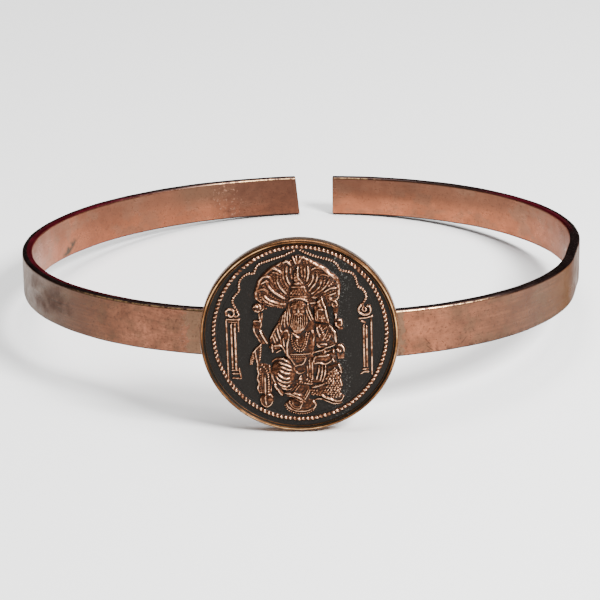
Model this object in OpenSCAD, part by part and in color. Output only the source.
// Copper cuff bracelet: one bent strip, open at the back, with a struck round medallion on its front.
// It lies on a table, on the medallion's lower edge in front and on the strip's two tips behind.
// +Z is up, the medallion looks along -Y, and +X is on the right of someone who faces it.

/* [Strip] */
// Width of the strip, from one long edge to the other
strip_w = 5; // [4:0.1:6.5]
// Thickness of the strip
strip_t = 1.2; // [0.9:0.05:1.6]
// Rounding of the strip's long edges
edge_r = 0.3; // [0.1:0.05:0.4]
// Slant of the snipped left tip, in degrees
left_snip = 6; // [1:1:10]

/* [Medallion] */
// Diameter over the rim
coin_d = 20.2; // [18:0.2:22]
// Thickness from the back to the field
coin_t = 1.4; // [1:0.1:2]
// Height of the rim over the field
rim_h = 0.3; // [0.2:0.05:0.4]
// Greatest height of the figures over the field
relief_h = 0.45; // [0.35:0.01:0.5]
// Number of beads in the round border
border_beads = 122; // [90:1:126]
// Height of the medallion's centre over the middle of the strip
coin_up = 0.6; // [-0.4:0.1:1]
// Offset of the medallion's centre to the right, along its back from the middle of the seat
coin_side = 3.8; // [3:0.1:4.6]
// Turn of the medallion's face to the right of the seat's, in degrees
coin_turn = 11; // [8:0.5:13]
// Thickness of the bond between the strip and the medallion
bond_t = 0.1; // [0.05:0.05:0.3]

/* [Hidden] */
$fn = 96;

// The strip's outer face, from the middle of its flat seat to each tip: half of the seat, a quarter
// bend, a straight side and a bend round the back that stops short of the other tip
SEAT = 0;
FRONT_R = 1;
SIDE = 2;
BACK_R = 3;
BACK_SWEEP = 4;
RIGHT = [1.0, 28.4, 5.2, 30.5, 98];
LEFT = [4.9, 29.6, 0, 35.0, 73];

function side_x(arm) = arm[SEAT] + arm[FRONT_R];
function back_centre(arm) = [side_x(arm) - arm[BACK_R], arm[FRONT_R] + arm[SIDE]];
function on_back(arm, turn) = back_centre(arm) + arm[BACK_R] * [cos(turn), sin(turn)];

// The medallion's flat back touches the front bend of the right arm, where that faces the same way
coin_way = [sin(coin_turn), -cos(coin_turn), 0];
coin_across = [cos(coin_turn), sin(coin_turn), 0];
coin_out = RIGHT[SEAT] * sin(coin_turn) + RIGHT[FRONT_R] * (1 - cos(coin_turn)) + bond_t;
coin_back = coin_side * coin_across + coin_out * coin_way + [0, 0, coin_up];

// The bracelet lies on three points: the medallion's lowest point and the tips' lower corners
function tip_foot(arm, side) =
    let (tip = on_back(arm, arm[BACK_SWEEP]))
    [side * tip[0], tip[1], -strip_w / 2];
coin_foot = coin_back - [0, 0, coin_d / 2];
table_cross = cross(tip_foot(RIGHT, 1) - tip_foot(LEFT, -1), coin_foot - tip_foot(LEFT, -1));
table_normal = table_cross * sign(table_cross[2]) / norm(table_cross);
lean = acos(table_normal[2]);
lean_axis = cross(table_normal, [0, 0, 1]) / sin(lean);

// Turns a point about the lean axis, as the whole bracelet is turned to lie on the table
function leant(p) =
    p * cos(lean) + cross(lean_axis, p) * sin(lean) + lean_axis * (lean_axis * p) * (1 - cos(lean));

// Then turns it to the left, until the medallion looks along -Y
function placed(p) =
    let (q = leant(p), c = cos(coin_turn), s = sin(coin_turn))
    [q[0] * c + q[1] * s, q[1] * c - q[0] * s, q[2]];

// The bracelet's box as it lies, from points round its rims, puts the origin under its middle
RIM_STEP = 2;
function arm_rim(arm, side) = [
    for (turn = [0 : RIM_STEP : 90], z = [-strip_w / 2, strip_w / 2])
        for (p = [
            [arm[SEAT], arm[FRONT_R]] + arm[FRONT_R] * [sin(turn), -cos(turn)],
            on_back(arm, turn * arm[BACK_SWEEP] / 90)
        ])
            placed([side * p[0], p[1], z])
];
coin_rim = [
    for (a = [0 : RIM_STEP : 360 - RIM_STEP], out = [0, coin_t + rim_h])
        placed(coin_back + out * coin_way + coin_d / 2 * (cos(a) * coin_across + [0, 0, sin(a)]))
];
rims = concat(arm_rim(RIGHT, 1), arm_rim(LEFT, -1), coin_rim);
function middle(axis) = (min([for (p = rims) p[axis]]) + max([for (p = rims) p[axis]])) / 2;
table_z = min([for (p = rims) p[2]]);

module lying() {
    translate([-middle(0), -middle(1), -table_z])
        rotate([0, 0, -coin_turn])
            rotate(a = lean, v = lean_axis)
                children();
}

// Cross-section of the strip: x runs out from the bend's centre to the outer face, y is the width
module section(outer) {
    inner = outer - strip_t;
    translate([inner, edge_r - strip_w / 2]) square([strip_t, strip_w - 2 * edge_r]);
    translate([inner + edge_r, -strip_w / 2]) square([strip_t - 2 * edge_r, strip_w]);
    for (x = [inner + edge_r, outer - edge_r], y = [edge_r - strip_w / 2, strip_w / 2 - edge_r])
        translate([x, y]) circle(r = edge_r);
}

// A straight length of strip: its outer face is the plane x = 0, and it runs along -Y from the origin
module straight(length) {
    rotate([90, 0, 0])
        linear_extrude(length)
            section(0);
}

// One arm, from the middle of the medallion round the right-hand side to the gap at the back
module arm(arm) {
    rotate([0, 0, -90]) mirror([0, 1, 0]) straight(arm[SEAT]);
    translate([arm[SEAT], arm[FRONT_R], 0])
        rotate_extrude(angle = 90, start = -90) section(arm[FRONT_R]);
    if (arm[SIDE] > 0)
        translate([side_x(arm), arm[FRONT_R] + arm[SIDE], 0]) straight(arm[SIDE]);
    translate([back_centre(arm)[0], back_centre(arm)[1], 0])
        rotate_extrude(angle = arm[BACK_SWEEP], start = 0) section(arm[BACK_R]);
}

// Takes a wedge off an arm's tip, so that its lower corner stands out and its upper one is cut back
module snipped(arm, slant) {
    tip = on_back(arm, arm[BACK_SWEEP]);
    wedge = 2 * strip_w;
    difference() {
        children();
        translate([tip[0], tip[1], -strip_w / 2])
            rotate([0, 0, arm[BACK_SWEEP] + 90])
                rotate([0, -slant, 0])
                    translate([0, -wedge / 2, -wedge / 2])
                        cube([wedge, wedge, 2 * wedge]);
    }
}

module strip() {
    color("peru")
        lying() {
            arm(RIGHT);
            mirror([1, 0, 0]) snipped(LEFT, left_snip) arm(LEFT);
        }
}

// The artwork is drawn in millimetres for a 20.2 mm blank, u to the right and v up. It is laid on a
// little stretched and shifted, as the die was cut and set
DRAWN_D = 20.2;
art = coin_d / DRAWN_D;
LAID_U = [1.012, -0.018, 0.1];
LAID_V = [-0.018, 1.025, 0.16];
function laid(p) = [LAID_U * [p[0], p[1], 1], LAID_V * [p[0], p[1], 1]];

// Round border of beads, a little taller than wide
BORDER_CENTRE = [0.08, 0.26];
BORDER_R = [8.75, 9.08];
BORDER_BEAD = 0.2;

// Section of the rim: distance in from the medallion's edge, height as a share of the rim's
RIM_SECTION = [[0.55, -0.4], [0.38, 0.75], [0.28, 1], [0.12, 0.85], [0, 0.4], [0, -0.4]];

// Arch over the figures, from its point down each side to the scroll on the pillar
ARCH_LEFT = [
    [-0.4, 8.55], [-0.95, 8.28], [-1.6, 7.98], [-2.3, 7.75], [-3, 7.5], [-3.6, 7.3], [-4.05, 7],
    [-4.3, 6.5], [-4.5, 6.2], [-4.95, 6.2], [-5.4, 5.97], [-5.78, 5.55], [-5.95, 5], [-5.92, 4.5],
    [-6.1, 4.25], [-6.45, 3.85], [-6.65, 3.35], [-6.5, 2.85], [-6.25, 2.35], [-6.12, 2]
];
ARCH_RIGHT = [
    [0.25, 8.62], [0.85, 8.32], [1.5, 8.08], [2.2, 7.88], [2.9, 7.72], [3.5, 7.5], [3.9, 7.1], [4.1, 6.7],
    [4.45, 6.55], [4.95, 6.48], [5.35, 6.3], [5.65, 5.9], [5.78, 5.4], [5.88, 5], [6.25, 4.8],
    [6.58, 4.35], [6.65, 3.85], [6.4, 3.4], [6.15, 3.05], [6, 2.75]
];
ARCH_BEAD = 0.15;

// Every table of the artwork starts with the place, in these two columns
U = 0;
V = 1;

// Pillars and their capitals and feet, from the lower left corner; the rise is a share of the relief's
PILLAR_WIDE = 2;
PILLAR_HIGH = 3;
PILLAR_RISE = 4;
PILLARS = [
    [-7.42, -4.5, 0.16, 5.9, 0.4], [-6.98, -3.7, 0.2, 4.7, 0.5], [-6.66, -3.6, 0.3, 4.5, 0.6],
    [-7.4, 1.4, 1.3, 0.2, 0.5], [-7.1, -4.05, 0.75, 0.18, 0.5], [-6.95, -4.65, 0.85, 0.2, 0.5],
    [-6.35, -4.5, 0.18, 0.9, 0.5],
    [7, -4.2, 0.16, 6, 0.4], [6.2, -3.3, 0.2, 4.3, 0.5], [6.48, -3.4, 0.24, 4.4, 0.6],
    [5.95, 1.75, 1.3, 0.2, 0.5], [6, -3.7, 0.65, 0.18, 0.5], [5.9, -4.15, 0.8, 0.2, 0.5]
];

// Scrolls on the capitals: a loop of round wire
SCROLL_R = 2;
WIRE_R = 3;
SCROLLS = [[-6.95, 2.15, 0.38, 0.14], [6.5, 2.65, 0.42, 0.15]];

// The figures stand inside this outline, whose left and right edge are given at each height
HEIGHT = 0;
LEFT_EDGE = 1;
RIGHT_EDGE = 2;
FIGURE_OUTLINE = [
    [-8.35, -1.5, 1.1], [-7.7, -4.1, 1.9], [-7.2, -4.5, 4.2], [-6.3, -4.7, 4.6], [-4, -4.8, 4.4],
    [-3.2, -5.3, 4.4], [-2, -5.2, 4.7], [-1, -4.7, 4.7], [0.5, -4.9, 4.4], [2.4, -5, 4.3],
    [3.2, -4.9, 4.3], [4.5, -4.6, 4.3], [6, -3.9, 3.9], [7, -2.8, 2.6], [7.7, -1.7, 1.6], [8.2, -0.8, 0.7]
];

// Rounded bodies: place of the middle, half length and half breadth, turn in degrees, share of the rise
LONG = 2;
WIDE = 3;
TURN = 4;
RISE = 5;
BODIES = [
    [-0.1, 4.3, 3.6, 3.6, 0, 0.3], [-2.3, 4.6, 2.1, 1.5, 35, 0.32], [2.1, 4.9, 2, 1.6, -35, 0.32],
    [-0.1, 2.9, 1.15, 0.9, 90, 0.95], [-0.1, 4.35, 1.05, 0.85, 90, 0.85], [-0.15, 5.6, 1.1, 0.4, 90, 0.75],
    [-0.2, 1.1, 1.2, 0.95, 90, 0.8], [-1.5, 1.9, 1.3, 0.45, 70, 0.6], [1.15, 2.2, 1.3, 0.35, -70, 0.6],
    [-0.2, -0.7, 1.7, 1.4, 90, 0.55], [-2.3, -0.3, 1.7, 0.75, 70, 0.65], [1.5, -0.4, 1.4, 0.7, 100, 0.6],
    [-4.15, 2.75, 0.55, 0.42, 0, 0.6], [-4.3, 1, 0.5, 0.35, 90, 0.6],
    [-1.85, -4.1, 1.75, 1.3, 80, 0.85], [0.1, -2.6, 1.3, 0.6, 0, 0.45], [0, -4.2, 1.6, 1.1, 90, 0.4],
    [-3.55, -6.85, 0.75, 0.68, 0, 0.7], [-4.1, -4.5, 1.7, 0.35, 90, 0.45], [-2.6, -5.5, 1, 0.3, -60, 0.55],
    [-0.2, -7.3, 1.6, 0.85, 0, 0.55], [-0.5, -6.4, 1.2, 0.4, -25, 0.5],
    [2.15, 3, 1.15, 0.6, 95, 0.7], [2.2, 1.85, 0.6, 0.55, 90, 0.85], [2.35, 0.2, 1.2, 0.8, 100, 0.75],
    [3.25, 0.2, 0.9, 0.4, 110, 0.7], [2.35, -2.4, 1, 0.45, 10, 0.6], [2, -3.7, 0.95, 0.32, 90, 0.65],
    [3.55, 3.25, 0.38, 0.35, 0, 0.55], [3.85, 1.25, 0.4, 0.4, 0, 0.6], [4, -1.45, 0.45, 0.42, 0, 0.6],
    [3.2, -4.7, 1.75, 0.95, 95, 0.5], [2.2, -6.1, 1.9, 0.55, -10, 0.45]
];

// Drawn ridges, such as necks, limbs, folds and cords: half breadth, share of the rise, and the line
HALF_BREADTH = 0;
SHARE = 1;
LINE = 2;
RIDGES = [
    [0.28, 0.55, [[-4.2, 3.4], [-4.35, 4], [-4.1, 4.9], [-3.8, 5.5], [-3.2, 6.2], [-2.5, 6.85]]],
    [0.28, 0.55, [[-2.5, 6.85], [-1.5, 7.45], [-0.6, 7.85], [0.1, 8], [0.7, 7.8], [1.4, 7.5], [2.2, 7.05]]],
    [0.28, 0.6, [[2.2, 7.05], [2.9, 6.45], [3.6, 5.85], [3.95, 5.2], [3.95, 4.4], [3.7, 3.7]]],
    [0.17, 0.7, [[-3.5, 4.05], [-3.1, 3.6], [-2.4, 3.3], [-1.4, 3.15]]],
    [0.17, 0.7, [[-3.2, 5.3], [-2.9, 4.85], [-2.4, 4.35], [-1.45, 3.7]]],
    [0.17, 0.7, [[-2.15, 6], [-2.1, 5.4], [-1.8, 4.8], [-1.25, 4.2]]],
    [0.17, 0.7, [[-1.15, 6.9], [-1.1, 6], [-0.85, 5.2]]],
    [0.17, 0.7, [[-0.05, 7.2], [-0.05, 6.2]]],
    [0.17, 0.7, [[0.95, 6.95], [1, 6.2], [0.7, 5.4]]],
    [0.17, 0.7, [[1.9, 6.3], [1.75, 5.5], [1.1, 4.7]]],
    [0.17, 0.6, [[3, 4.95], [2.2, 4.5], [1.2, 4.05]]],
    [0.17, 0.6, [[2.2, 3.75], [1.7, 3.4], [1.1, 3.3]]],
    [0.16, 0.95, [[-1.05, 3.45], [-0.6, 3.75], [0, 3.8], [0.6, 3.65], [0.9, 3.35]]],
    [0.15, 0.9, [[-0.75, 5.05], [0.35, 5.05]]],
    [0.14, 0.8, [[-0.1, 3.1], [-0.1, 2.45]]],
    [0.13, 0.45, [[-0.65, 3], [-0.4, 3.15], [-0.2, 3.05]]],
    [0.13, 0.45, [[0, 3.05], [0.2, 3.15], [0.45, 3]]],
    [0.14, 0.6, [[-0.6, 2.05], [-0.35, 2.22], [0.15, 2.22], [0.4, 2.05]]],
    [0.14, 0.6, [[-0.75, 2], [-0.6, 1.2], [-0.25, 0.4]]],
    [0.14, 0.6, [[-0.15, 1.85], [-0.17, 1.2], [-0.22, 0.3]]],
    [0.14, 0.6, [[0.5, 2], [0.35, 1.2], [-0.15, 0.4]]],
    [0.12, 0.6, [[2.2, 2.15], [2.2, 1.8]]],
    [0.16, 0.75, [[-1.3, 2.9], [-1.75, 1.9], [-2, 1]]],
    [0.18, 0.85, [[0.9, 3.2], [1.05, 2.5], [1.4, 1.55]]],
    [0.15, 0.75, [[-0.8, 0.1], [-0.75, -1], [-0.25, -1.45], [0.35, -1.1], [0.8, 0]]],
    [0.15, 0.7, [[-2.6, 0.6], [-2.1, -0.2], [-1.9, -1.2]]],
    [0.15, 0.7, [[-2.85, -0.2], [-2.85, -1.8]]],
    [0.2, 0.7, [[-1.4, 0.3], [-1.3, -1], [-1.35, -2], [-0.6, -3.1]]],
    [0.15, 0.7, [[-1.1, -1.95], [0.9, -1.88]]],
    [0.22, 0.65, [[-4.45, 0.5], [-4, -0.9]]],
    [0.2, 0.75, [[-4, 0.5], [-3.25, -0.95]]],
    [0.15, 0.6, [[-3.9, 2.1], [-3.85, 1.2]]],
    [0.2, 0.55, [[-4, -1], [-4.7, -1.8], [-5, -3]]],
    [0.16, 0.5, [[-4.05, -1.1], [-4.15, -2.6]]],
    [0.14, 0.95, [[-3, -2.95], [-2.4, -2.45], [-1.8, -2.45], [-1, -2.95]]],
    [0.13, 1, [[-2.2, -2.85], [-1.6, -3.05], [-0.95, -3.35]]],
    [0.13, 1, [[-2.1, -3.25], [-1.5, -3.5], [-0.95, -3.65]]],
    [0.13, 1, [[-2.2, -3.6], [-1.7, -3.87], [-1.1, -3.95]]],
    [0.13, 1, [[-2.5, -4], [-2, -4.35], [-1.2, -4.5]]],
    [0.13, 1, [[-2.6, -4.4], [-2.1, -4.78], [-1.2, -4.85]]],
    [0.13, 0.9, [[-2.5, -4.9], [-1.9, -5.3], [-1.1, -5.25]]],
    [0.14, 0.7, [[-3.2, -3.1], [-3.15, -4.2], [-2.7, -5.1]]],
    [0.16, 0.65, [[-3.65, -3.4], [-3.68, -6.2]]],
    [0.16, 0.55, [[-3.3, -4.2], [-3.3, -5.8]]],
    [0.17, 0.6, [[-4.4, -3.1], [-4.35, -4.4], [-4.4, -5.9]]],
    [0.15, 0.65, [[-1.6, -6.05], [-0.6, -6.3], [0.35, -6.95]]],
    [0.17, 0.7, [[-1.65, -7.3], [-1.2, -7.85], [-0.2, -8.08], [0.8, -7.85], [1.3, -7.2], [1.1, -6.85]]],
    [0.15, 0.55, [[-0.7, -3.3], [0.3, -2.9], [0.5, -2.3]]],
    [0.2, 0.7, [[1, -2.4], [1, -4.8]]],
    [0.17, 0.9, [[2.25, 3.95], [2.6, 3], [2.95, 1.3]]],
    [0.16, 0.8, [[1.75, 0.8], [2, -0.4], [2.6, 0.5]]],
    [0.22, 0.9, [[3, 0.9], [3.5, 0.3], [3.6, -0.8]]],
    [0.24, 0.8, [[3.5, -1.05], [2.3, -1.75], [1.1, -2.3]]],
    [0.18, 0.6, [[3.6, 2.9], [3.55, 2.2], [3.75, 1.6]]],
    [0.2, 0.7, [[3.2, -1.4], [3.35, -2.9]]],
    [0.2, 0.65, [[3.75, -3], [4.05, -3.9], [3.85, -4.6], [4.1, -5.3], [3.9, -6]]],
    [0.17, 0.8, [[2, -6.2], [2.6, -6.6], [3.3, -6.85], [3.9, -6.7], [4.15, -6.35]]],
    [0.12, 0.5, [[1.1, -6.85], [1.7, -6.6], [2.3, -6.75], [3, -7.02], [3.8, -7]]]
];

// Rows and columns of the net of points that the figures' surface is drawn on
ROWS = 80;
COLUMNS = 44;

// Depth to which bare places go under the field, the least share of the rise that shows over it, and
// how far a ridge stands out of the body under it
SUNK = 0.12;
LEAST_RISE = 0.12;
RIDGE_SHARE = 0.45;

function body_rise(p, b) =
    let (d = p - [b[U], b[V]], c = cos(b[TURN]), s = sin(b[TURN]))
    let (x = (d[U] * c + d[V] * s) / b[LONG], y = (d[V] * c - d[U] * s) / b[WIDE])
    let (q = 1 - x * x - y * y)
    q <= 0 ? 0 : b[RISE] * sqrt(q);

function to_line(p, a, b) =
    let (ab = b - a, t = max(0, min(1, (p - a) * ab / (ab * ab))))
    norm(p - a - ab * t);

function ridge_rise(p, r) =
    let (line = r[LINE], d = min([for (i = [1 : len(line) - 1]) to_line(p, line[i - 1], line[i])]))
    let (q = 1 - pow(d / r[HALF_BREADTH], 2))
    q <= 0 ? 0 : r[SHARE] * sqrt(q);

// Height of the figures at a point: the highest body there with what is drawn on it, or sunk under
// the field where there is nothing
function figure_z(p) =
    let (body = max([for (b = BODIES) body_rise(p, b)]))
    let (drawn = max([for (r = RIDGES) ridge_rise(p, r)]))
    body + drawn < LEAST_RISE ? -SUNK : (body + RIDGE_SHARE * drawn) * relief_h;

// The outline's left or right edge at a height v, between the two rows that it lies between
LAST_ROW = len(FIGURE_OUTLINE) - 1;
function figure_edge(v, side) =
    let (i = [for (k = [1 : LAST_ROW]) if (v <= FIGURE_OUTLINE[k][HEIGHT] || k == LAST_ROW) k][0])
    let (a = FIGURE_OUTLINE[i - 1], b = FIGURE_OUTLINE[i])
    a[side] + (b[side] - a[side]) * (v - a[HEIGHT]) / (b[HEIGHT] - a[HEIGHT]);

// The figures: a net of points raised to their height, with straight walls down to a flat underside
module figures() {
    bottom_v = FIGURE_OUTLINE[0][HEIGHT];
    top_v = FIGURE_OUTLINE[LAST_ROW][HEIGHT];
    under = -3 * SUNK;
    function on_edge(i, j) = i == 0 || i == ROWS || j == 0 || j == COLUMNS;
    net = [
        for (i = [0 : ROWS])
            let (v = bottom_v + (top_v - bottom_v) * i / ROWS)
            let (left = figure_edge(v, LEFT_EDGE), right = figure_edge(v, RIGHT_EDGE))
                for (j = [0 : COLUMNS])
                    let (p = [left + (right - left) * j / COLUMNS, v], on_blank = laid(p))
                        [on_blank[U], on_blank[V], on_edge(i, j) ? -SUNK : figure_z(p)]
    ];
    function at(i, j) = i * (COLUMNS + 1) + j;
    sole = len(net);
    feet = [for (i = [0 : ROWS], j = [0, COLUMNS]) let (p = net[at(i, j)]) [p[U], p[V], under]];
    function foot(i, side) = sole + 2 * i + side;
    faces = concat(
        [for (i = [0 : ROWS - 1], j = [0 : COLUMNS - 1]) [at(i, j), at(i + 1, j), at(i + 1, j + 1)]],
        [for (i = [0 : ROWS - 1], j = [0 : COLUMNS - 1]) [at(i, j), at(i + 1, j + 1), at(i, j + 1)]],
        [for (i = [0 : ROWS - 1]) [foot(i, 0), foot(i, 1), foot(i + 1, 1), foot(i + 1, 0)]],
        [for (i = [0 : ROWS - 1]) [at(i, 0), foot(i, 0), foot(i + 1, 0), at(i + 1, 0)]],
        [for (i = [0 : ROWS - 1]) [foot(i, 1), at(i, COLUMNS), at(i + 1, COLUMNS), foot(i + 1, 1)]],
        [concat([foot(0, 1), foot(0, 0)], [for (j = [0 : COLUMNS]) at(0, j)])],
        [concat([foot(ROWS, 0), foot(ROWS, 1)], [for (j = [COLUMNS : -1 : 0]) at(ROWS, j)])]
    );
    polyhedron(points = concat(net, feet), faces = faces, convexity = 10);
}

BEAD_SIDES = 24;
module bead(p, r) {
    translate([p[U], p[V], 0]) sphere(r = r, $fn = BEAD_SIDES);
}

function along(points, i, t) = points[i] + (points[i + 1] - points[i]) * t;

// A bead on each point of the arch, and one halfway to the next
module arch(points) {
    for (i = [0 : len(points) - 2], t = [0, 0.5])
        bead(laid(along(points, i, t)), ARCH_BEAD);
}

module border() {
    for (i = [0 : border_beads - 1])
        let (a = 360 * i / border_beads)
            bead(BORDER_CENTRE + [BORDER_R[0] * cos(a), BORDER_R[1] * sin(a)], BORDER_BEAD);
}

module rim() {
    rotate_extrude()
        polygon([for (p = RIM_SECTION) [coin_d / 2 - p[0], p[1] * rim_h]]);
}

module pillars() {
    for (p = PILLARS)
        let (corner = laid(p))
            translate([corner[U], corner[V], -SUNK])
                cube([p[PILLAR_WIDE], p[PILLAR_HIGH], SUNK + p[PILLAR_RISE] * relief_h]);
    for (s = SCROLLS)
        let (eye = laid(s))
            translate([eye[U], eye[V], 0])
                rotate_extrude()
                    translate([s[SCROLL_R], 0]) circle(r = s[WIRE_R]);
}

module medallion() {
    color("sienna")
        lying()
            translate(coin_back)
                rotate([90, 0, coin_turn]) {
                    cylinder(r = coin_d / 2, h = coin_t);
                    translate([0, 0, coin_t]) {
                        rim();
                        scale([art, art, 1]) {
                            border();
                            arch(ARCH_LEFT);
                            arch(ARCH_RIGHT);
                            pillars();
                            figures();
                        }
                    }
                }
}

strip();
medallion();
